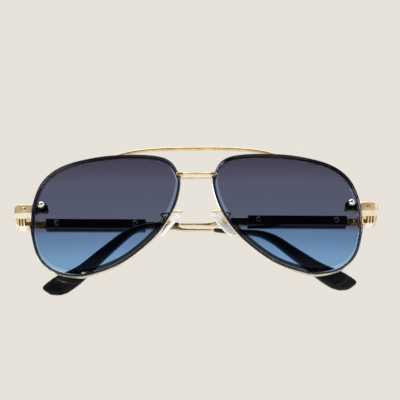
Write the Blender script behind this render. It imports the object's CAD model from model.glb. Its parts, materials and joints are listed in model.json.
"""Looks of the folded aviator sunglasses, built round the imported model.

Sizes are in millimetres, in the same frame as the CAD source, and `place` turns them into metres
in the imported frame. "left" and "right" are the wearer's sides; +Y runs from the front of the
glasses towards the wearer.
"""

import json
import math

import bmesh
import bpy
from mathutils import Matrix, Vector


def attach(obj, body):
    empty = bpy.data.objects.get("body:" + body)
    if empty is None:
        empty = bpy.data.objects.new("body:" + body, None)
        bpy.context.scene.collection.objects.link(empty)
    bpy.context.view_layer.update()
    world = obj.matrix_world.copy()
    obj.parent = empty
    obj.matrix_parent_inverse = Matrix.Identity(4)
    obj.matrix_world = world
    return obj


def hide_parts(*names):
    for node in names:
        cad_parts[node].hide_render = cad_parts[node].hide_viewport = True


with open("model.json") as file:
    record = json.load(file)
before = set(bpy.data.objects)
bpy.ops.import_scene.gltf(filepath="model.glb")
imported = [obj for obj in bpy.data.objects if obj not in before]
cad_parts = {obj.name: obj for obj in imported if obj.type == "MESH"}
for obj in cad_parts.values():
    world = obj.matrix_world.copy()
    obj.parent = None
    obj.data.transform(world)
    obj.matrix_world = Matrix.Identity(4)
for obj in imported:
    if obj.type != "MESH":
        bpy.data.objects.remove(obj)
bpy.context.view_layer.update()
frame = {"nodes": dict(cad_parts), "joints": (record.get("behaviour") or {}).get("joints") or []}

MM = 0.001
SIDES = {"left": 1.0, "right": -1.0}

# Lens
LENS_OUTLINE = [
    (67.7, 27.0), (67.2, 37.3), (63.6, 47.0), (55.7, 53.3), (42.3, 56.7), (28.7, 57.75),
    (17.0, 57.2), (11.0, 54.9), (7.7, 49.7), (6.7, 43.6), (9.8, 32.2), (17.4, 20.3),
    (29.9, 9.9), (42.8, 5.15), (50.6, 4.95), (58.6, 7.6), (64.4, 13.5), (67.1, 21.7),
]
LENS_CENTRE = (37.5, 31.2)
LENS_RADIUS = 200.0
LENS_WRAP = math.radians(3.0)
LENS_THICKNESS = 2.0
BEVEL_WIDTH = 2.0
BEVEL_DEPTH = 0.7
OUTLINE_STEPS = 10
RIM_INSET = 0.05
RIM_WIDTH = 1.2
RIM_DEPTH = 2.2
SEAT_GAP = 0.1

# Bars between the rims
BROW_POINTS = [(0.0, 61.4), (12.0, 61.3), (22.0, 60.6), (29.0, 59.4), (36.5, 57.5)]
BROW_HALF_HEIGHT = 0.6
BROW_HALF_DEPTH = 0.8
BRIDGE_HALF_SPAN = 5.65
BRIDGE_Z = 48.0
BRIDGE_FRONT_Y = 1.0
BRIDGE_REAR_Y = 4.9

# Lens screw
SCREW_X = 63.4
SCREW_Z = 35.3
SCREW_HEAD_RADIUS = 1.45
SCREW_HOLE_RADIUS = 0.7
SPACER_RADIUS = 1.8
SPACER_THICKNESS = 1.05

# Hinge and temple
HINGE = Vector((69.0, 17.2, 32.4))
FOLD_TILT = math.radians(2.02)
BAR_HEIGHT = 3.5
BAR_THICKNESS = 1.4
BAR_START = 1.8
PLATE_START = 5.9
PLATE_END = 47.7
PLATE_THICKNESS = 2.15
PLATE_HEIGHT = 4.0
RIVET_PLACES = {"front": 10.5, "rear": 43.2}
TIP_START = 76.5
TIP_PATHS = {
    "left": [
        (76.5, 31.1), (82.0, 31.0), (88.5, 30.4), (93.0, 29.2), (98.3, 26.3),
        (107.2, 18.2), (115.6, 9.8), (120.8, 5.7), (126.3, 2.6), (131.5, 1.7),
    ],
    "right": [
        (76.5, 30.7), (82.0, 30.1), (90.0, 29.7), (96.5, 28.8), (102.3, 25.9),
        (108.3, 20.9), (118.0, 12.6), (123.2, 8.6), (128.6, 5.4), (133.7, 4.6),
    ],
}
TIP_FOOT = {"left": -0.8, "right": 1.9}
TIP_INWARD = {"left": 2.4, "right": 5.0}
TIP_INWARD_FROM = 96.0
TIP_INWARD_OVER = 29.0
TIP_WIDTHS = [
    (0.0, 0.75), (13.0, 1.0), (20.0, 1.5), (25.0, 1.95), (34.0, 2.4), (46.0, 3.0),
    (54.0, 4.0), (57.0, 4.2), (60.0, 3.8), (62.5, 2.7), (64.2, 1.4), (65.0, 0.6),
]
TIP_THICKNESSES = [(0.0, 0.95), (8.0, 1.25), (23.0, 1.6), (50.0, 1.65), (61.0, 1.4), (65.0, 0.6)]

# Nose pads
PAD_CENTRE = (11.0, 8.8, 29.2)
PAD_LEAN = math.radians(40.0)
PAD_SPLAY = {"left": math.radians(48.0), "right": math.radians(16.0)}
PAD_HALF_LENGTH = 6.6
PAD_HALF_WIDTH = 3.7
PAD_HALF_THICKNESS = 0.9
PAD_BOX_DISTANCE = 2.3
PAD_ARM_POINTS = [
    (10.25, 4.72, 33.4), (10.15, 5.1, 33.3), (9.2, 5.35, 33.05), (7.7, 5.45, 33.05),
    (6.6, 5.75, 33.2), (6.6, 6.15, 33.5), (7.9, 6.55, 33.6), (9.6, 6.4, 33.45),
    (11.6, 6.0, 32.8),
]
PAD_ARM_RADIUS = 0.42
GAP = 0.06

joints = {j["name"]: j for j in frame["joints"]}
SHIFT = Vector(joints["temple_left_fold"]["pos_m"]) / MM - HINGE


def place(x, y, z):
    """A point of the front, in millimetres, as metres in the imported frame."""
    return (Vector((x, y, z)) + SHIFT) * MM


def temple_place(name):
    """Maps (along the temple, across it towards the back, up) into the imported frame."""
    side = SIDES[name]
    turn = Matrix.Rotation(FOLD_TILT, 3, "Z")
    hinge = Vector((side * HINGE.x, HINGE.y, HINGE.z))

    def spot(u, w, h):
        return (turn @ Vector((-side * u, w, h)) + hinge + SHIFT) * MM

    return spot


# ---------------------------------------------------------------- curves and sections

def catmull_rom(before, start, end, after, t):
    slope_in = (end - before) / 2
    slope_out = (after - start) / 2
    return (
        start * (2 * t**3 - 3 * t**2 + 1)
        + slope_in * (t**3 - 2 * t**2 + t)
        + end * (-2 * t**3 + 3 * t**2)
        + slope_out * (t**3 - t**2)
    )


def closed_curve(points, steps):
    count = len(points)
    curve = []
    for i in range(count):
        four = [Vector(points[(i + k) % count]) for k in (-1, 0, 1, 2)]
        curve += [catmull_rom(*four, step / steps) for step in range(steps)]
    return curve


def open_curve(points, steps):
    points = [Vector(p) for p in points]
    padded = [2 * points[0] - points[1], *points, 2 * points[-1] - points[-2]]
    curve = []
    for i in range(1, len(padded) - 2):
        curve += [catmull_rom(*padded[i - 1:i + 3], step / steps) for step in range(steps)]
    return curve + [points[-1]]


def outward_normals(outline):
    normals = []
    for i in range(len(outline)):
        along = outline[(i + 1) % len(outline)] - outline[i - 1]
        normals.append(Vector((along.y, -along.x)).normalized())
    return normals


def ellipse(half_a, half_b, count):
    angles = [2 * math.pi * i / count for i in range(count)]
    return [(half_a * math.cos(a), half_b * math.sin(a)) for a in angles]


def rounded_rectangle(half_a, half_b, radius, steps=4):
    """A rectangle whose corners are quarter circles."""
    radius = min(radius, half_a * 0.98, half_b * 0.98)
    points = []
    for quarter, (sign_a, sign_b) in enumerate(((1, 1), (-1, 1), (-1, -1), (1, -1))):
        for step in range(steps + 1):
            angle = math.pi / 2 * (quarter + step / steps)
            points.append((
                sign_a * (half_a - radius) + radius * math.cos(angle),
                sign_b * (half_b - radius) + radius * math.sin(angle),
            ))
    return points


def along_table(table, distance):
    """A value read off the straight lines between (distance, value) pairs."""
    for (near, low), (far, high) in zip(table, table[1:]):
        if distance <= far:
            share = max(0.0, distance - near) / (far - near)
            return low + (high - low) * share
    return table[-1][1]


# ---------------------------------------------------------------- meshes

def loft(loops, closed=False):
    """A skin over equal loops of points; an open one is capped at both ends."""
    mesh = bmesh.new()
    rings = [[mesh.verts.new(p) for p in loop] for loop in loops]
    count = len(rings[0])
    pairs = list(zip(rings, rings[1:]))
    if closed:
        pairs.append((rings[-1], rings[0]))
    for near, far in pairs:
        for i in range(count):
            j = (i + 1) % count
            mesh.faces.new((near[i], near[j], far[j], far[i]))
    if not closed:
        mesh.faces.new(rings[0][::-1])
        mesh.faces.new(rings[-1])
    bmesh.ops.recalc_face_normals(mesh, faces=mesh.faces)
    return mesh


def sweep(path, section, scales=None, up=(0.0, 0.0, 1.0)):
    """A section carried along a path; the path is in millimetres of the front."""
    loops = []
    last = len(path) - 1
    for i, point in enumerate(path):
        direction = (path[min(i + 1, last)] - path[max(i - 1, 0)]).normalized()
        side = direction.cross(Vector(up)).normalized()
        lift = side.cross(direction).normalized()
        across, high = scales[i] if scales else (1.0, 1.0)
        loops.append([
            place(*(point + side * (a * across) + lift * (b * high))) for a, b in section
        ])
    return loft(loops)


def turned(profile, centre, axis, to_world, count=32):
    """A solid of revolution; the profile is (distance, radius) pairs."""
    axis = Vector(axis).normalized()
    helper = Vector((0.0, 0.0, 1.0)) if abs(axis.z) < 0.9 else Vector((0.0, 1.0, 0.0))
    side = axis.cross(helper).normalized()
    lift = side.cross(axis).normalized()
    loops = []
    for distance, radius in profile:
        spot = Vector(centre) + axis * distance
        loops.append([
            to_world(*(spot + side * a + lift * b)) for a, b in ellipse(radius, radius, count)
        ])
    return loft(loops)


def extrude(outline, low, high, to_point):
    return loft([[to_point(a, b, level) for a, b in outline] for level in (low, high)])


def round_edges(mesh, width, segments=3, angle=30.0):
    """Bevel every edge sharper than `angle`."""
    sharp = [e for e in mesh.edges if e.calc_face_angle(0.0) > math.radians(angle)]
    bmesh.ops.bevel(
        mesh, geom=sharp, offset=width * MM, segments=segments, profile=0.5, affect="EDGES",
        clamp_overlap=True,
    )
    bmesh.ops.recalc_face_normals(mesh, faces=mesh.faces)
    return mesh


def add_piece(name, mesh, materials, body, replaces=(), smooth=40.0):
    """Make an object from a bmesh, shade it, and tell the frame what it is."""
    data = bpy.data.meshes.new(name)
    mesh.to_mesh(data)
    mesh.free()
    data.shade_smooth()
    data.set_sharp_from_angle(angle=math.radians(smooth))
    for mat in materials:
        data.materials.append(mat)
    piece = bpy.data.objects.new(name, data)
    bpy.context.scene.collection.objects.link(piece)
    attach(piece, body)
    if replaces:
        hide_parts(*replaces)
    return piece


def cut_hole(piece, cutter_mesh, inside=None):
    """Subtract a closed mesh from a piece, for good; `inside` is the new walls' material."""
    data = bpy.data.meshes.new("cutter")
    cutter_mesh.to_mesh(data)
    cutter_mesh.free()
    cutter = bpy.data.objects.new("cutter", data)
    bpy.context.scene.collection.objects.link(cutter)
    modifier = piece.modifiers.new("hole", "BOOLEAN")
    modifier.operation = "DIFFERENCE"
    modifier.solver = "EXACT"
    modifier.object = cutter
    if inside:
        data.materials.append(inside)
        modifier.material_mode = "TRANSFER"
    graph = bpy.context.evaluated_depsgraph_get()
    result = bpy.data.meshes.new_from_object(piece.evaluated_get(graph))
    piece.modifiers.clear()
    piece.data = result
    result.set_sharp_from_angle(angle=math.radians(40.0))
    bpy.data.objects.remove(cutter)


# ---------------------------------------------------------------- materials

def new_material(name):
    mat = bpy.data.materials.new(name)
    mat.use_nodes = True
    return mat, mat.node_tree, mat.node_tree.nodes["Principled BSDF"]


def node(tree, kind, **values):
    made = tree.nodes.new(kind)
    for key, value in values.items():
        if key in made.inputs:
            made.inputs[key].default_value = value
        else:
            setattr(made, key, value)
    return made


def ramp(tree, source, stops, smooth=False):
    """A colour ramp on a value; stops are (place, colour) pairs."""
    made = node(tree, "ShaderNodeValToRGB")
    made.color_ramp.interpolation = "EASE" if smooth else "LINEAR"
    elements = made.color_ramp.elements
    while len(elements) < len(stops):
        elements.new(0.5)
    for element, (spot, colour) in zip(elements, stops):
        element.position = spot
        element.color = (*colour, 1.0) if len(colour) == 3 else colour
    tree.links.new(source, made.inputs["Fac"])
    return made.outputs["Color"]


def noise(tree, scale, detail=4.0, stretch=(1.0, 1.0, 1.0)):
    """Noise over the object's own coordinates, in metres."""
    coords = node(tree, "ShaderNodeTexCoord")
    mapping = node(tree, "ShaderNodeMapping")
    mapping.inputs["Scale"].default_value = stretch
    made = node(tree, "ShaderNodeTexNoise", Scale=scale, Detail=detail)
    tree.links.new(coords.outputs["Object"], mapping.inputs["Vector"])
    tree.links.new(mapping.outputs["Vector"], made.inputs["Vector"])
    return made.outputs["Fac"]


def add_bump(tree, shader, height, strength, distance):
    bump = node(tree, "ShaderNodeBump", Strength=strength, Distance=distance)
    tree.links.new(height, bump.inputs["Height"])
    tree.links.new(bump.outputs["Normal"], shader.inputs["Normal"])


def metal(name, light, dark, roughness, brushed, metallic=1.0):
    """Plated metal: slightly uneven colour and polish, with fine polishing marks."""
    mat, tree, shader = new_material(name)
    shader.inputs["Metallic"].default_value = metallic
    patches = noise(tree, 260.0)
    tree.links.new(ramp(tree, patches, [(0.3, dark), (0.7, light)]), shader.inputs["Base Color"])
    low, high = roughness
    marks = noise(tree, 900.0, 6.0, (1.0, 1.0, 6.0) if brushed else (1.0, 3.0, 1.0))
    grey = ramp(tree, marks, [(0.35, (low,) * 3), (0.7, (high,) * 3)])
    tree.links.new(grey, shader.inputs["Roughness"])
    add_bump(tree, shader, marks, 0.25 if brushed else 0.06, 0.00003)
    return mat


def black_acetate():
    """Polished black acetate: almost even, with a faint cloud and a wavy polish."""
    mat, tree, shader = new_material("black_acetate")
    cloud = noise(tree, 140.0)
    colour = ramp(tree, cloud, [(0.3, (0.004, 0.004, 0.005)), (0.75, (0.012, 0.012, 0.015))])
    tree.links.new(colour, shader.inputs["Base Color"])
    shader.inputs["IOR"].default_value = 1.3
    fine = noise(tree, 1500.0, 3.0)
    grey = ramp(tree, fine, [(0.3, (0.04,) * 3), (0.8, (0.09,) * 3)])
    tree.links.new(grey, shader.inputs["Roughness"])
    add_bump(tree, shader, cloud, 0.04, 0.0001)
    return mat


def silicone():
    """Clear soft pad: cloudy, bright at its edges, and see-through in the middle."""
    mat, tree, shader = new_material("clear_silicone")
    cloud = noise(tree, 500.0, 5.0)
    colour = ramp(tree, cloud, [(0.25, (0.88, 0.89, 0.87)), (0.75, (0.98, 0.99, 0.98))])
    tree.links.new(colour, shader.inputs["Base Color"])
    shader.inputs["Roughness"].default_value = 0.16
    shader.inputs["IOR"].default_value = 1.41
    shader.inputs["Subsurface Weight"].default_value = 0.25
    shader.inputs["Subsurface Radius"].default_value = (0.001, 0.001, 0.001)
    clear = node(tree, "ShaderNodeBsdfTransparent", Color=(0.97, 0.98, 0.97, 1.0))
    mix = node(tree, "ShaderNodeMixShader")
    edge = node(tree, "ShaderNodeLayerWeight", Blend=0.45)
    share = ramp(tree, edge.outputs["Facing"], [(0.0, (0.62,) * 3), (0.8, (0.97,) * 3)])
    tree.links.new(share, mix.inputs[0])
    tree.links.new(clear.outputs[0], mix.inputs[1])
    tree.links.new(shader.outputs[0], mix.inputs[2])
    out = tree.nodes["Material Output"]
    tree.links.new(mix.outputs[0], out.inputs["Surface"])
    add_bump(tree, shader, cloud, 0.2, 0.0002)
    return mat


LENS_LOW, LENS_HIGH = 4.0, 58.0
TINT = [
    (6.0, (0.48, 0.69, 0.905)), (12.8, (0.457, 0.639, 0.85)), (19.2, (0.392, 0.537, 0.744)),
    (22.8, (0.38, 0.50, 0.68)), (24.8, (0.345, 0.38, 0.48)), (38.4, (0.333, 0.359, 0.462)),
    (44.9, (0.342, 0.355, 0.457)), (51.3, (0.297, 0.292, 0.383)), (57.0, (0.27, 0.25, 0.34)),
]


def lens_tint(tree):
    """The tint at a height on the lens, as what one surface lets through."""
    coords = node(tree, "ShaderNodeTexCoord")
    split = node(tree, "ShaderNodeSeparateXYZ")
    tree.links.new(coords.outputs["Object"], split.inputs[0])
    spread = node(tree, "ShaderNodeMapRange")
    spread.inputs["From Min"].default_value = (LENS_LOW + SHIFT.z) * MM
    spread.inputs["From Max"].default_value = (LENS_HIGH + SHIFT.z) * MM
    tree.links.new(split.outputs["Z"], spread.inputs["Value"])
    stops = [((z - LENS_LOW) / (LENS_HIGH - LENS_LOW), colour) for z, colour in TINT]
    return ramp(tree, spread.outputs["Result"], stops)


def see_through(mat, tree, shader, colour, ior=1.22, roughness=0.02):
    """Tinted glass that doesn't bend what is behind it, with a clear reflection on top."""
    tree.nodes.remove(shader)
    clear = node(tree, "ShaderNodeBsdfTransparent")
    tree.links.new(colour, clear.inputs["Color"])
    gloss = node(tree, "ShaderNodeBsdfGlossy", Roughness=roughness)
    gloss.inputs["Color"].default_value = (0.95, 0.97, 1.0, 1.0)
    fresnel = node(tree, "ShaderNodeFresnel", IOR=ior)
    mix = node(tree, "ShaderNodeMixShader")
    tree.links.new(fresnel.outputs[0], mix.inputs[0])
    tree.links.new(clear.outputs[0], mix.inputs[1])
    tree.links.new(gloss.outputs[0], mix.inputs[2])
    tree.links.new(mix.outputs[0], tree.nodes["Material Output"].inputs["Surface"])
    return mat


def lens_glass():
    mat, tree, shader = new_material("lens_tint")
    return see_through(mat, tree, shader, lens_tint(tree))


def multiply(tree, first, second):
    mix = node(tree, "ShaderNodeMix", data_type="RGBA", blend_type="MULTIPLY")
    mix.inputs[0].default_value = 1.0
    tree.links.new(first, mix.inputs[6])
    tree.links.new(second, mix.inputs[7])
    return mix.outputs[2]


def bevel_glass():
    """The ground facet: its thickness darkens it, most of all above and below."""
    mat, tree, shader = new_material("lens_bevel")
    uv = node(tree, "ShaderNodeUVMap", uv_map="around")
    split = node(tree, "ShaderNodeSeparateXYZ")
    tree.links.new(uv.outputs[0], split.inputs[0])
    black = (0.05, 0.05, 0.06)
    around = ramp(tree, split.outputs["X"], [
        (0.0, (0.45, 0.48, 0.55)), (0.08, (0.6, 0.65, 0.75)), (0.13, black), (0.37, black),
        (0.41, (0.6, 0.72, 0.92)), (0.565, (0.66, 0.78, 0.96)), (0.59, black), (0.74, black),
        (0.8, (0.8, 0.9, 1.0)), (1.0, (0.55, 0.6, 0.7)),
    ])
    inward = ramp(tree, split.outputs["Y"], [
        (0.0, (0.1,) * 3), (0.08, (0.15,) * 3), (0.14, (1.0,) * 3), (0.93, (1.0,) * 3),
        (1.0, (0.6,) * 3),
    ])
    line = ramp(tree, split.outputs["Y"], [
        (0.24, (0.0,) * 3), (0.3, (0.3,) * 3), (0.36, (0.3,) * 3), (0.42, (0.0,) * 3),
    ])
    add = node(tree, "ShaderNodeMix", data_type="RGBA", blend_type="ADD")
    add.inputs[0].default_value = 1.0
    tree.links.new(around, add.inputs[6])
    tree.links.new(line, add.inputs[7])
    return see_through(mat, tree, shader, multiply(tree, add.outputs[2], inward), 1.12, 0.1)


def edge_glass():
    """The polished edge of the lens, which looks nearly black."""
    mat, tree, shader = new_material("lens_edge")
    speckle = noise(tree, 800.0)
    colour = ramp(tree, speckle, [(0.3, (0.004, 0.005, 0.007)), (0.7, (0.02, 0.022, 0.03))])
    tree.links.new(colour, shader.inputs["Base Color"])
    shader.inputs["Roughness"].default_value = 0.25
    return mat


gold = metal("gold", (0.86, 0.68, 0.40), (0.66, 0.49, 0.26), (0.07, 0.18), False)
satin_gold = metal("satin_gold", (0.88, 0.72, 0.47), (0.62, 0.46, 0.26), (0.3, 0.5), True, 0.6)
pale_gold = metal("pale_gold", (0.97, 0.93, 0.82), (0.90, 0.84, 0.70), (0.08, 0.2), False)
recess = metal("recess", (0.12, 0.08, 0.03), (0.03, 0.02, 0.01), (0.4, 0.6), False, 0.5)
rim_gold = metal("rim_gold", (0.98, 0.93, 0.80), (0.90, 0.82, 0.66), (0.25, 0.35), False, 0.8)
steel = metal("steel", (0.82, 0.80, 0.74), (0.68, 0.66, 0.60), (0.08, 0.2), False)
black = black_acetate()
clear_silicone = silicone()
glass = lens_glass()
facet = bevel_glass()
lens_edge = edge_glass()


# ---------------------------------------------------------------- lenses and rims

def lens_depth(x, z):
    across = abs(x) - LENS_CENTRE[0]
    up = z - LENS_CENTRE[1]
    return (across**2 + up**2) / (2 * LENS_RADIUS) + across * math.tan(LENS_WRAP)


OUTLINE = closed_curve(LENS_OUTLINE, OUTLINE_STEPS)
NORMALS = outward_normals(OUTLINE)


def outline_ring(side, inset, back):
    ring = []
    for point, normal in zip(OUTLINE, NORMALS):
        spot = point - normal * inset
        ring.append(place(side * spot.x, lens_depth(spot.x, spot.y) + back, spot.y))
    return ring


def inner_ring(side, share, back):
    centre = Vector(LENS_CENTRE)
    ring = []
    for point, normal in zip(OUTLINE, NORMALS):
        spot = centre + (point - normal * BEVEL_WIDTH - centre) * share
        ring.append(place(side * spot.x, lens_depth(spot.x, spot.y) + back, spot.y))
    return ring


def build_lens(name, side):
    """A spherical sheet with a wide ground facet in front and a small chamfer behind."""
    back = LENS_THICKNESS
    shares = (0.03, 0.15, 0.3, 0.45, 0.6, 0.75, 0.88, 0.96)
    slope = BEVEL_DEPTH / BEVEL_WIDTH
    edges = [
        (BEVEL_WIDTH + 0.1, 0.0), (BEVEL_WIDTH - 0.1, 0.1 * slope), (1.3, 0.7 * slope),
        (0.6, 1.4 * slope), (0.15, 1.85 * slope), (0.02, BEVEL_DEPTH + 0.08),
        (0.0, BEVEL_DEPTH + 0.2), (0.0, back - 0.25), (0.06, back - 0.08), (0.25, back),
    ]
    loops = [inner_ring(side, share, 0.0) for share in shares]
    loops += [outline_ring(side, inset, depth) for inset, depth in edges]
    loops += [inner_ring(side, share, back) for share in reversed(shares)]
    mesh = loft(loops)
    count = len(OUTLINE)
    first_facet = len(shares)
    first_edge = first_facet + 4
    last_edge = first_facet + len(edges) - 1
    uv = mesh.loops.layers.uv.new("around")
    mesh.faces.ensure_lookup_table()
    for index, face in enumerate(mesh.faces):
        band, step = divmod(index, count)
        if first_facet <= band < first_edge:
            face.material_index = 1
        elif first_edge <= band < last_edge:
            face.material_index = 2
        for corner in face.loops:
            ring, column = divmod(corner.vert.index, count)
            around = column / count
            if step == count - 1 and column == 0:
                around = 1.0
            inset = edges[min(max(ring - first_facet, 0), len(edges) - 1)][0]
            corner[uv].uv = (around, inset / BEVEL_WIDTH)
    piece = add_piece(
        f"visual_lens_{name}", mesh, [glass, facet, lens_edge], "front",
        [f"lens_{name}"],
    )
    hole = turned(
        [(-8.0, SCREW_HOLE_RADIUS), (4.0, SCREW_HOLE_RADIUS)], screw_place(side),
        lens_normal(side), place, 24,
    )
    cut_hole(piece, hole)


def build_rim(name, side):
    """Flat wire with rounded corners, just behind the edge of the lens."""
    section = rounded_rectangle(RIM_WIDTH / 2, RIM_DEPTH / 2, 0.4)
    middle_in = RIM_INSET + RIM_WIDTH / 2
    middle_back = LENS_THICKNESS + SEAT_GAP + RIM_DEPTH / 2
    loops = []
    for point, normal in zip(OUTLINE, NORMALS):
        loop = []
        for across, back in section:
            spot = point + normal * (across - middle_in)
            depth = lens_depth(spot.x, spot.y) + middle_back + back
            loop.append(place(side * spot.x, depth, spot.y))
        loops.append(loop)
    mesh = loft(loops, closed=True)
    add_piece(f"visual_rim_{name}", mesh, [rim_gold], "front", [f"rim_{name}"])


# ---------------------------------------------------------------- lens screw and its spacer

def lens_normal(side):
    slope = (SCREW_X - LENS_CENTRE[0]) / LENS_RADIUS + math.tan(LENS_WRAP)
    return Vector((side * slope, -1.0, 0.0)).normalized()


def screw_place(side):
    return Vector((side * SCREW_X, lens_depth(SCREW_X, SCREW_Z), SCREW_Z))


def build_lens_screw(name, side):
    radius = SCREW_HEAD_RADIUS
    seat = 0.12
    profile = [(-6.0, 0.3), (-5.85, 0.5), (seat, 0.5), (seat + 0.02, 0.86 * radius)]
    for step in range(13):
        angle = math.radians(-25 + 8.2 * step)
        height = seat + 0.5 + radius * 0.88 * math.sin(angle)
        profile.append((height, radius * math.cos(angle)))
    top = profile[-1][0]
    profile += [(top - 0.02, 0.46), (top - 0.22, 0.4), (top - 0.25, 0.05)]
    mesh = turned(profile, screw_place(side), lens_normal(side), place, 40)
    add_piece(
        f"visual_lens_screw_{name}", mesh, [steel], "front",
        [f"lens_screw_{name}"], 50.0,
    )
    inner = SCREW_HOLE_RADIUS
    outer = SPACER_RADIUS
    soft = 0.15
    start = -LENS_THICKNESS - 0.12
    end = start - SPACER_THICKNESS
    section = [
        (start, inner), (start, outer - soft), (start - 0.3 * soft, outer - 0.3 * soft),
        (start - soft, outer), (end + soft, outer), (end + 0.3 * soft, outer - 0.3 * soft),
        (end, outer - soft), (end, inner),
    ]
    axis = lens_normal(side)
    across = axis.cross(Vector((0.0, 0.0, 1.0))).normalized()
    lift = across.cross(axis)
    loops = []
    for i in range(40):
        angle = 2 * math.pi * i / 40
        out = across * math.cos(angle) + lift * math.sin(angle)
        loops.append([place(*(screw_place(side) + axis * d + out * r)) for d, r in section])
    mesh = loft(loops, closed=True)
    add_piece(
        f"visual_lens_spacer_{name}", mesh, [black], "front", [f"lens_spacer_{name}"],
    )


# ---------------------------------------------------------------- brow bar, bridge and claws

def build_brow_bar():
    points = [(-x, z) for x, z in reversed(BROW_POINTS[1:])] + BROW_POINTS
    path = []
    for x, z in points:
        depth = lens_depth(x, LENS_OUTLINE[5][1]) if abs(x) > 20 else lens_depth(20, 57)
        path.append((x, depth + LENS_THICKNESS + SEAT_GAP + RIM_DEPTH / 2, z))
    path = open_curve(path, 8)
    scales = []
    for point in path:
        rest = min(1.0, max(0.42, (38.5 - abs(point.x)) / 9.0))
        scales.append((1.0, rest))
    section = rounded_rectangle(BROW_HALF_DEPTH, BROW_HALF_HEIGHT, 0.52, 5)
    mesh = round_edges(sweep(path, section, scales), 0.15, 2, 60.0)
    add_piece("visual_brow_bar", mesh, [gold], "front", ["brow_bar"])


def build_bridge():
    for label, depth, rise, radius in (
        ("front", BRIDGE_FRONT_Y, 0.3, 0.48), ("rear", BRIDGE_REAR_Y, 0.0, 0.34),
    ):
        path = []
        for i in range(25):
            t = i / 12 - 1
            spot = Vector((t * BRIDGE_HALF_SPAN, depth, BRIDGE_Z + rise * (1 - t * t)))
            path.append(spot)
        mesh = sweep(path, ellipse(radius, radius, 20))
        add_piece(
            f"visual_bridge_{label}_bar", mesh, [gold], "front", [f"bridge_{label}_bar"],
        )


def build_claw(name, side):
    web_in = BRIDGE_HALF_SPAN + GAP
    prong_x = 8.5
    surface = lens_depth(prong_x, BRIDGE_Z)
    front = surface - 0.85
    rear = BRIDGE_REAR_Y + 0.6
    outline = [
        (web_in, front + 0.45), (web_in + 0.15, front + 0.12), (web_in + 0.5, front),
        (prong_x - 0.4, front), (prong_x - 0.08, front + 0.12), (prong_x, front + 0.4),
        (prong_x, surface - GAP), (6.45, surface), (6.45, 3.65), (7.1, 3.65), (7.1, rear),
        (web_in, rear),
    ]
    mesh = extrude(
        outline, BRIDGE_Z - 0.55, BRIDGE_Z + 0.55, lambda x, y, z: place(side * x, y, z),
    )
    round_edges(mesh, 0.13, 2, 50.0)
    add_piece(f"visual_lens_claw_{name}", mesh, [gold], "front", [f"lens_claw_{name}"])


# ---------------------------------------------------------------- end pieces

BLOCK_INNER_X = 70.75
BLOCK_OUTER_X = 75.2
BLOCK_PROFILE = [
    (6.7, 33.6), (10.6, 32.7), (12.6, 30.7), (18.4, 30.3), (19.4, 31.2), (19.4, 34.6),
    (18.0, 36.0), (11.0, 37.7), (7.4, 37.7), (6.7, 37.1),
]
BLOCK_CENTRE = (12.9, 34.05)
BLOCK_HALF_DEPTH = 6.35
BLOCK_HALF_HEIGHT = 3.65
BLOCK_ROUNDING = 1.8
FRONT_INNER_X = 67.85
FRONT_PROFILE = [
    (6.7, 33.6), (10.6, 32.7), (11.6, 31.7), (11.7, 31.8), (11.7, 33.0), (11.7, 35.0),
    (11.7, 37.4), (11.0, 37.7), (7.4, 37.7), (6.7, 37.1),
]
FLUTES = (70.95, 72.2, 73.4)
FLUTE_WIDTH = 0.6
FLUTE_PROFILE = [(10.4, 32.2), (11.8, 30.0), (13.6, 30.0), (13.6, 31.4), (11.2, 33.6)]
END_ARM_BEHIND = 8.0
END_ARM_LOW = 33.5
END_ARM_HIGH = 37.1
STUD_X = 71.2

# Finish of each side of the block's profile: 0 gold, 1 satin gold, 2 pale gold
BLOCK_FINISHES = {0: 2, 2: 2, 8: 1, 9: 1}


def build_end_piece(name, side):
    """The stepped block beside the lens, with flutes below, and its arm behind the rim."""
    centre_y, centre_z = BLOCK_CENTRE
    loops = []
    for x in (FRONT_INNER_X, BLOCK_INNER_X - 0.03):
        loops.append([place(side * x, y, z) for y, z in FRONT_PROFILE])
    stations = [(BLOCK_INNER_X, 0.0)]
    for step in range(13):
        turn = math.radians(7.5 * step)
        reach = BLOCK_OUTER_X - BLOCK_ROUNDING * (1 - math.sin(turn))
        stations.append((reach, BLOCK_ROUNDING * (1 - math.cos(turn))))
    for x, inset in stations:
        deep = 1 - inset / BLOCK_HALF_DEPTH
        high = 1 - inset / BLOCK_HALF_HEIGHT
        loops.append([
            place(side * x, centre_y + (y - centre_y) * deep, centre_z + (z - centre_z) * high)
            for y, z in BLOCK_PROFILE
        ])
    mesh = loft(loops)
    mesh.faces.ensure_lookup_table()
    profile_count = len(BLOCK_PROFILE)
    for index, face in enumerate(mesh.faces):
        face.material_index = BLOCK_FINISHES.get(index % profile_count, 0)
    round_edges(mesh, 0.2, 3, 24.0)
    block = add_piece(
        f"visual_end_piece_{name}", mesh, [gold, satin_gold, pale_gold, recess], "front",
        [f"end_piece_{name}"], 30.0,
    )
    for x in FLUTES:
        cutter = extrude(
            FLUTE_PROFILE, x - FLUTE_WIDTH / 2, x + FLUTE_WIDTH / 2,
            lambda y, z, s: place(side * s, y, z),
        )
        cut_hole(block, cutter, recess)
    build_end_arm(name, side)


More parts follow.
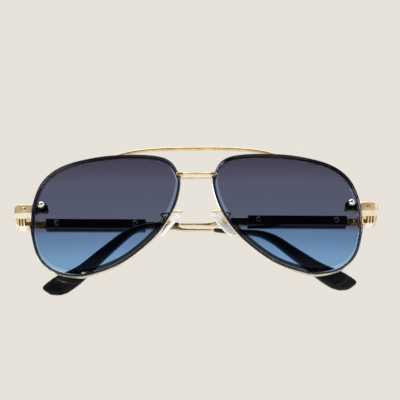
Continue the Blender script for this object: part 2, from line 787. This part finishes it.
def build_end_arm(name, side):
    front = screw_place(side).y + LENS_THICKNESS + SPACER_THICKNESS + 0.55
    behind = END_ARM_BEHIND
    outline = [
        (61.5, front), (65.2, front), (66.0, behind), (69.2, behind), (72.5, behind - 0.4),
        (72.5, behind + 2.0), (70.2, behind + 1.9), (69.0, behind + 1.2),
        (65.5, behind + 1.2), (64.6, front + 1.2), (61.5, front + 1.2),
    ]
    mesh = extrude(outline, END_ARM_LOW, END_ARM_HIGH, lambda x, y, z: place(side * x, y, z))
    ends = [
        e for e in mesh.edges
        if all(abs(v.co.x) < 61.6 * MM for v in e.verts)
        and abs(e.verts[0].co.y - e.verts[1].co.y) > MM
    ]
    bmesh.ops.bevel(
        mesh, geom=ends, offset=1.5 * MM, segments=6, profile=0.5, affect="EDGES",
        clamp_overlap=True,
    )
    round_edges(mesh, 0.15, 2, 35.0)
    add_piece(f"end_piece_arm_{name}", mesh, [gold], "front")


def build_stud(name, side):
    front = BLOCK_PROFILE[0][0]
    middle = (BLOCK_PROFILE[0][1] + BLOCK_PROFILE[-1][1]) / 2
    profile = [(GAP, 0.9), (0.2, 0.9), (0.32, 0.84), (0.36, 0.72), (0.3, 0.62)]
    profile += [(0.34, 0.5), (0.42, 0.36), (0.46, 0.18), (0.47, 0.04)]
    mesh = turned(profile, (side * STUD_X, front, middle), (0.0, -1.0, 0.0), place, 28)
    add_piece(
        f"visual_stud_{name}", mesh, [gold], "front", [f"end_piece_stud_{name}"], 50.0,
    )


# ---------------------------------------------------------------- temples

def tip_height(name, u):
    path = open_curve(TIP_PATHS[name], 8)
    for near, far in zip(path, path[1:]):
        if u <= far.x:
            return near.y + (far.y - near.y) * (u - near.x) / (far.x - near.x) - HINGE.z
    return path[-1].y - HINGE.z


def build_bar(name):
    """Flat bar that narrows to the wire in the tip; a knot is (along, top, bottom, half depth)."""
    half = BAR_HEIGHT / 2
    wire = tip_height(name, TIP_START)
    knots = [
        (BAR_START, half, -half, 0.7), (BAR_START + 0.12, half, -half, 0.7),
        (PLATE_START, half, -half, 0.7), (PLATE_END, half, -half, 0.7), (54.0, half, -half, 0.7),
        (55.5, half - 0.03, -half, 0.7),
        (57.5, 1.4, -half, 0.68), (60.0, 0.5, -half + 0.02, 0.64),
        (63.0, wire + 0.75, wire - 0.65, 0.6), (66.0, wire + 0.5, wire - 0.48, 0.57),
        (70.0, wire + 0.45, wire - 0.45, 0.55), (TIP_START, wire + 0.45, wire - 0.45, 0.55),
    ]
    spot = temple_place(name)
    stations = [Vector(k) for k in knots]
    loops = []
    for i in range(len(stations) - 1):
        steps = 1 if i < 4 else 6
        for step in range(steps):
            loops.append(stations[i].lerp(stations[i + 1], step / steps))
    loops.append(stations[-1])
    for u in (78.0, 82.0, 86.0):
        middle = tip_height(name, u)
        loops.append(Vector((u, middle + 0.4, middle - 0.4, 0.5)))
    rings = []
    for index, (u, top, bottom, thick) in enumerate(loops):
        inset = 0.12 if index == 0 else 0.0
        section = rounded_rectangle((top - bottom) / 2 - inset, thick - inset, 0.22, 3)
        middle = (top + bottom) / 2
        rings.append([spot(u, across, middle + up) for up, across in section])
    mesh = loft(rings)
    mesh.faces.ensure_lookup_table()
    # The third stretch is the one between the scales, where the bar is black
    section_count = len(rings[0])
    for face in mesh.faces[2 * section_count:3 * section_count]:
        face.material_index = 1
    add_piece(
        f"visual_temple_bar_{name}", mesh, [gold, black], f"temple_{name}",
        [f"temple_core_{name}"],
    )


def build_plate(name, label, towards):
    """Black scale with rounded long edges and ends."""
    face = towards * (BAR_THICKNESS / 2 + GAP)
    half = PLATE_HEIGHT / 2
    soft = 0.4
    section = [(-half, 0.0), (-half, PLATE_THICKNESS - soft)]
    for step in range(1, 6):
        angle = math.radians(18 * step)
        section.append((-half + soft * (1 - math.cos(angle)),
                        PLATE_THICKNESS - soft * (1 - math.sin(angle))))
    section += [(-up, out) for up, out in reversed(section)]
    spot = temple_place(name)
    loops = []
    ends = []
    for step in range(5):
        angle = math.radians(22.5 * step)
        ends.append((soft * (1 - math.sin(angle)), soft * (1 - math.cos(angle))))
    stations = [(PLATE_START + d, inset) for inset, d in ends]
    stations += [(PLATE_END - d, inset) for inset, d in reversed(ends)]
    for u, inset in stations:
        loop = []
        for up, out in section:
            proud = min(out, PLATE_THICKNESS - inset)
            loop.append(spot(u, face + towards * proud, up * (1 - inset / half)))
        loops.append(loop)
    add_piece(
        f"visual_temple_{label}_plate_{name}", loft(loops), [black], f"temple_{name}",
        [f"temple_{label}_plate_{name}"], 50.0,
    )


def build_rivet(name, label, u):
    reach = BAR_THICKNESS / 2 + GAP + PLATE_THICKNESS
    radius = 1.15
    half = [(reach + 0.03, 0.6), (reach + 0.04, radius)]
    for step in range(1, 8):
        angle = math.radians(12.5 * step)
        half.append((reach + 0.08 + 0.3 * math.sin(angle), radius * math.cos(angle)))
    profile = [(-d, r) for d, r in reversed(half)] + half
    side = SIDES[name]
    spot = temple_place(name)
    mesh = turned(profile, (u, 0.0, 0.0), (0.0, 1.0, 0.0), spot, 28)
    add_piece(
        f"visual_rivet_{label}_{name}", mesh, [steel], f"temple_{name}",
        [f"temple_rivet_{label}_{name}"], 50.0,
    )


def build_tip(name):
    """Acetate tip: slim over the wire, bent down, with a flat rounded paddle."""
    spot = temple_place(name)
    path = open_curve(TIP_PATHS[name], 9)
    length = sum((far - near).length for near, far in zip(path, path[1:]))
    stretch = TIP_WIDTHS[-1][0] / length
    path[-1:] = [path[-2].lerp(path[-1], share) for share in (0.3, 0.6, 0.85, 1.0)]
    loops = []
    travelled = 0.0
    last = len(path) - 1
    for i, point in enumerate(path):
        if i:
            travelled += (point - path[i - 1]).length * stretch
        heading = (path[min(i + 1, last)] - path[max(i - 1, 0)]).normalized()
        normal = Vector((-heading.y, heading.x))
        half_width = along_table(TIP_WIDTHS, travelled)
        half_thick = along_table(TIP_THICKNESSES, travelled)
        if i == 0:
            half_width *= 0.8
            half_thick *= 0.8
        share = max(0.0, point.x - TIP_INWARD_FROM) / TIP_INWARD_OVER
        inward = TIP_INWARD[name] * share**1.6
        soft = 0.75 * min(half_width, half_thick)
        loop = []
        for up, across in rounded_rectangle(half_width, half_thick, soft, 4):
            flat = point + normal * up
            height = max(flat.y, TIP_FOOT[name])
            loop.append(spot(flat.x, across - inward, height - HINGE.z))
        loops.append(loop)
    add_piece(
        f"visual_temple_tip_{name}", loft(loops), [black], f"temple_{name}",
        [f"temple_tip_{name}"], 60.0,
    )


# ---------------------------------------------------------------- nose pads

def pad_frame(name):
    side = SIDES[name]
    centre = Vector((side * PAD_CENTRE[0], PAD_CENTRE[1], PAD_CENTRE[2]))
    along = Vector((-side * math.sin(PAD_LEAN), 0.0, math.cos(PAD_LEAN)))
    flat_out = Vector((side * math.cos(PAD_LEAN), 0.0, math.sin(PAD_LEAN)))
    splay = PAD_SPLAY[name]
    out = flat_out * math.cos(splay) + Vector((0.0, -1.0, 0.0)) * math.sin(splay)
    return centre, along, along.cross(out) * side, out


def pad_solid(name, scale, thickness, lift):
    centre, along, across, out = pad_frame(name)
    loops = []
    count = 24
    for i in range(count + 1):
        share = -math.cos(math.pi * i / count)
        width = math.sqrt(max(0.0, 1 - abs(share) ** 2.4)) * (1.0 - 0.18 * share)
        half_width = max(0.12, PAD_HALF_WIDTH * width) * scale
        half_thick = thickness * max(0.2, width**0.5)
        loop = []
        for a, b in ellipse(half_width, half_thick, 28):
            crown = 0.5 * (1 - (a / PAD_HALF_WIDTH) ** 2)
            spot = centre + along * (share * PAD_HALF_LENGTH * scale)
            loop.append(place(*(spot + across * a + out * (b - crown + lift))))
        loops.append(loop)
    return loft(loops)


def build_pad(name):
    body = f"nose_pad_{name}"
    add_piece(
        f"visual_nose_pad_{name}", pad_solid(name, 1.0, PAD_HALF_THICKNESS, 0.0),
        [clear_silicone], body, [f"nose_pad_{name}"], 60.0,
    )
    add_piece(f"pad_insert_{name}", pad_solid(name, 0.55, 0.12, 0.45), [steel], body)
    centre, _, _, out = pad_frame(name)
    side = SIDES[name]
    box_back = centre + out * (PAD_BOX_DISTANCE + 1.25 + GAP)
    points = [(side * x, y, z) for x, y, z in PAD_ARM_POINTS]
    points.append(tuple(box_back + out * 1.3 + Vector((0.0, 0.0, 0.6))))
    points.append(tuple(box_back))
    mesh = sweep(
        open_curve(points, 7), ellipse(PAD_ARM_RADIUS, PAD_ARM_RADIUS, 16), up=(0.0, 1.0, 0.3),
    )
    add_piece(
        f"visual_nose_pad_arm_{name}", mesh, [gold], "front", [f"nose_pad_arm_{name}"],
    )


# ---------------------------------------------------------------- the CAD pieces that stay

KEPT = {
    "lens_nut": gold, "hinge_front_leaf": gold, "hinge_rear_leaf": gold, "hinge_screw": steel,
    "nose_pad_stem": gold, "nose_pad_box": gold, "nose_pad_screw": steel,
}


def finish_kept(name):
    for kind, mat in KEPT.items():
        piece = frame["nodes"][f"{kind}_{name}"]
        piece.data.materials.clear()
        piece.data.materials.append(mat)
        bevel = piece.modifiers.new("soft edges", "BEVEL")
        bevel.width = 0.1 * MM
        bevel.segments = 2
        bevel.limit_method = "ANGLE"
        bevel.angle_limit = math.radians(40.0)
        bevel.harden_normals = True


for side_name, side_sign in SIDES.items():
    build_lens(side_name, side_sign)
    build_rim(side_name, side_sign)
    build_lens_screw(side_name, side_sign)
    build_claw(side_name, side_sign)
    build_end_piece(side_name, side_sign)
    build_stud(side_name, side_sign)
    build_bar(side_name)
    build_plate(side_name, "inner", -1.0)
    build_plate(side_name, "outer", 1.0)
    for rivet_label, rivet_u in RIVET_PLACES.items():
        build_rivet(side_name, rivet_label, rivet_u)
    build_tip(side_name)
    build_pad(side_name)
    finish_kept(side_name)
build_brow_bar()
build_bridge()


# ---------------------------------------------------------------- floor, light and camera

FLOOR_COLOUR = (0.78, 0.74, 0.68)
BACKDROP = (0.80, 0.76, 0.70, 1.0)


def build_floor():
    """A pale floor that shows only its upper face, because the view is from below it."""
    mesh = bmesh.new()
    bmesh.ops.create_grid(mesh, x_segments=1, y_segments=1, size=1.5)
    data = bpy.data.meshes.new("floor")
    mesh.to_mesh(data)
    mesh.free()
    floor = bpy.data.objects.new("floor", data)
    bpy.context.scene.collection.objects.link(floor)
    floor.visible_shadow = False
    mat, tree, shader = new_material("floor")
    grain = noise(tree, 6.0)
    warm = tuple(0.96 * c for c in FLOOR_COLOUR)
    tree.links.new(ramp(tree, grain, [(0.3, warm), (0.7, FLOOR_COLOUR)]), shader.inputs["Base Color"])
    shader.inputs["Roughness"].default_value = 0.6
    clear = node(tree, "ShaderNodeBsdfTransparent")
    mix = node(tree, "ShaderNodeMixShader")
    facing = node(tree, "ShaderNodeNewGeometry")
    tree.links.new(facing.outputs["Backfacing"], mix.inputs[0])
    tree.links.new(shader.outputs[0], mix.inputs[1])
    tree.links.new(clear.outputs[0], mix.inputs[2])
    tree.links.new(mix.outputs[0], tree.nodes["Material Output"].inputs["Surface"])
    data.materials.append(mat)


def build_world():
    """A pale backdrop; metal and glass reflect a bright floor and ceiling, dark between."""
    world = bpy.data.worlds.new("studio")
    world.use_nodes = True
    tree = world.node_tree
    around = tree.nodes["Background"]
    coords = node(tree, "ShaderNodeTexCoord")
    split = node(tree, "ShaderNodeSeparateXYZ")
    tree.links.new(coords.outputs["Generated"], split.inputs[0])
    spread = node(tree, "ShaderNodeMapRange")
    spread.inputs["From Min"].default_value = -1.0
    tree.links.new(split.outputs["Z"], spread.inputs["Value"])
    studio = ramp(tree, spread.outputs["Result"], [
        (0.0, (0.5, 0.48, 0.45)), (0.48, (0.62, 0.6, 0.56)), (0.55, (0.7, 0.69, 0.67)),
        (0.6, (0.10, 0.10, 0.11)), (0.82, (0.12, 0.12, 0.13)), (0.88, (0.9, 0.9, 0.88)),
        (1.0, (1.0, 0.99, 0.97)),
    ])
    tree.links.new(studio, around.inputs["Color"])
    around.inputs["Strength"].default_value = 0.8
    seen = node(tree, "ShaderNodeBackground", Color=BACKDROP)
    path = node(tree, "ShaderNodeLightPath")
    mix = node(tree, "ShaderNodeMixShader")
    tree.links.new(path.outputs["Is Camera Ray"], mix.inputs[0])
    tree.links.new(around.outputs[0], mix.inputs[1])
    tree.links.new(seen.outputs[0], mix.inputs[2])
    tree.links.new(mix.outputs[0], tree.nodes["World Output"].inputs["Surface"])
    bpy.context.scene.world = world


# Name, place in metres, size in metres, power in watts, colour
LIGHTS = [
    ("key", (-0.45, -0.3, 0.7), 0.4, 2.6, (1.0, 0.98, 0.95)),
    ("fill", (0.65, -0.2, 0.3), 0.3, 1.3, (1.0, 0.96, 0.9)),
    ("top", (0.05, 0.1, 0.7), 0.6, 2.6, (0.97, 0.98, 1.0)),
    ("under", (0.1, -0.35, -0.4), 0.12, 1.4, (1.0, 0.97, 0.92)),
    ("glint", (-0.15, -0.5, -0.3), 0.04, 0.8, (1.0, 1.0, 1.0)),
    ("back", (-0.2, 0.6, 0.35), 0.4, 1.4, (1.0, 1.0, 1.0)),
]


def build_lights():
    aim = Vector((0.0, 0.0, 0.03))
    for name, spot, size, power, colour in LIGHTS:
        data = bpy.data.lights.new(name, "AREA")
        data.size = size
        data.energy = power
        data.color = colour
        lamp = bpy.data.objects.new(name, data)
        lamp.location = spot
        lamp.rotation_euler = (aim - Vector(spot)).to_track_quat("-Z", "Y").to_euler()
        lamp.visible_camera = False
        bpy.context.scene.collection.objects.link(lamp)


def build_camera():
    """Below the frame and in front of it, looking up at 23 degrees."""
    elevation = math.radians(23.0)
    azimuth = math.radians(1.1)
    roll = math.radians(0.9)
    distance = 0.465
    target = place(0.0, 6.0, 32.2)
    ahead = Vector((
        math.sin(azimuth) * math.cos(elevation), math.cos(azimuth) * math.cos(elevation),
        math.sin(elevation),
    ))
    right = ahead.cross(Vector((0.0, 0.0, 1.0))).normalized()
    up = right.cross(ahead)
    turned_right = right * math.cos(roll) - up * math.sin(roll)
    turned_up = right * math.sin(roll) + up * math.cos(roll)
    data = bpy.data.cameras.new("camera")
    data.lens = 101.8
    data.sensor_width = 36.0
    data.shift_x = 0.0079
    data.shift_y = 0.035
    data.clip_start = 0.01
    camera = bpy.data.objects.new("camera", data)
    matrix = Matrix((turned_right, turned_up, -ahead)).transposed().to_4x4()
    matrix.translation = target - ahead * distance
    camera.matrix_world = matrix
    bpy.context.scene.collection.objects.link(camera)
    bpy.context.scene.camera = camera


build_floor()
build_world()
build_lights()
build_camera()
bpy.context.scene.view_settings.view_transform = "Standard"
